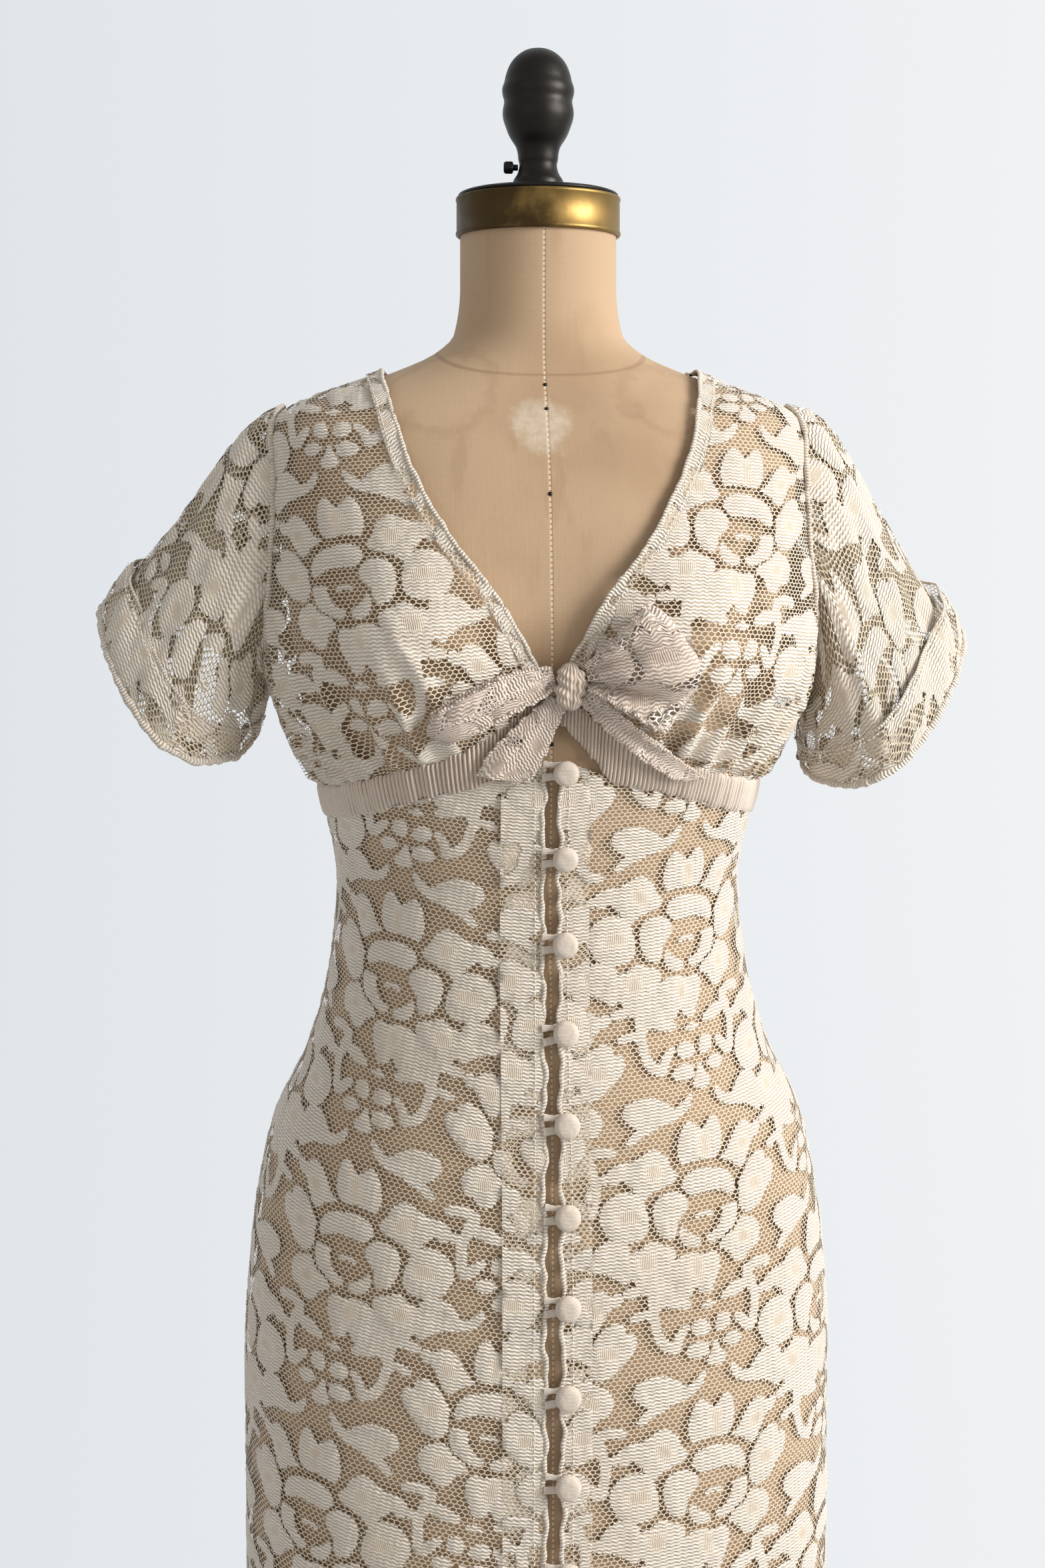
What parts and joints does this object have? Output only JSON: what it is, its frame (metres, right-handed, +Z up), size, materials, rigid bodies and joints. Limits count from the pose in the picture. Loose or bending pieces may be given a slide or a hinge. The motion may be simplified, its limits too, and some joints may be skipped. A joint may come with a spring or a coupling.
{
  "type": "lace dress on a dress form",
  "caption": "Short-sleeved V-neck lace dress with a bust bow and a looped button front, standing on a limbless dress form with a turned finial and a round base.",
  "frame": {"origin": "on the floor at the centre of the stand base's underside", "axes": "+Z up along the stand and the form, -Y out of the dress's front, +X to the viewer's right seen from the front"},
  "size_m": [0.5526, 0.41, 1.584],
  "materials": {
    "lace": "ivory cotton lace, corded motifs on a net",
    "lace_trim": "folded and ribbed ivory lace",
    "covered_button": "ivory fabric over a domed button",
    "linen": "aged tan linen stretched over a padded form",
    "aged_brass": "antique brass with dark patina",
    "blackened_iron": "blackened iron with a soft sheen"
  },
  "bodies": {
    "form": {"bodice_front_l": "lace", "bodice_front_r": "lace", "bodice_back": "lace", "sleeve_l": "lace", "sleeve_r": "lace", "skirt_front_l": "lace", "skirt_front_r": "lace", "skirt_back_l": "lace", "skirt_back_r": "lace", "neck_edge_l": "lace_trim", "neck_edge_r": "lace_trim", "band_front_l": "lace_trim", "band_front_r": "lace_trim", "band_back": "lace_trim", "cuff_l": "lace_trim", "cuff_r": "lace_trim", "placket_l": "lace_trim", "placket_r": "lace_trim", "bow_knot": "lace_trim", "bow_loop_l": "lace_trim", "bow_loop_r": "lace_trim", "bow_tail_l": "lace_trim", "bow_tail_r": "lace_trim", "button_01": "covered_button", "button_02": "covered_button", "button_03": "covered_button", "button_04": "covered_button", "button_05": "covered_button", "button_06": "covered_button", "button_07": "covered_button", "button_08": "covered_button", "button_09": "covered_button", "button_10": "covered_button", "button_11": "covered_button", "button_12": "covered_button", "button_13": "covered_button", "button_14": "covered_button", "loop_01": "covered_button", "loop_02": "covered_button", "loop_03": "covered_button", "loop_04": "covered_button", "loop_05": "covered_button", "loop_06": "covered_button", "loop_07": "covered_button", "loop_08": "covered_button", "loop_09": "covered_button", "loop_10": "covered_button", "loop_11": "covered_button", "loop_12": "covered_button", "loop_13": "covered_button", "loop_14": "covered_button", "form_torso": "linen", "neck_collar": "aged_brass", "neck_cap": "blackened_iron", "finial": "blackened_iron", "stand_pole": "blackened_iron", "stand_base": "blackened_iron"},
    "screw": {"set_screw": "blackened_iron"}
  },
  "joints": [
    {"name": "set_screw_turn", "type": "hinge", "parent": "form", "child": "screw", "pos_m": [-0.013, 0, 1.5074], "axis": [-1, 0, 0], "continuous": true}
  ]
}
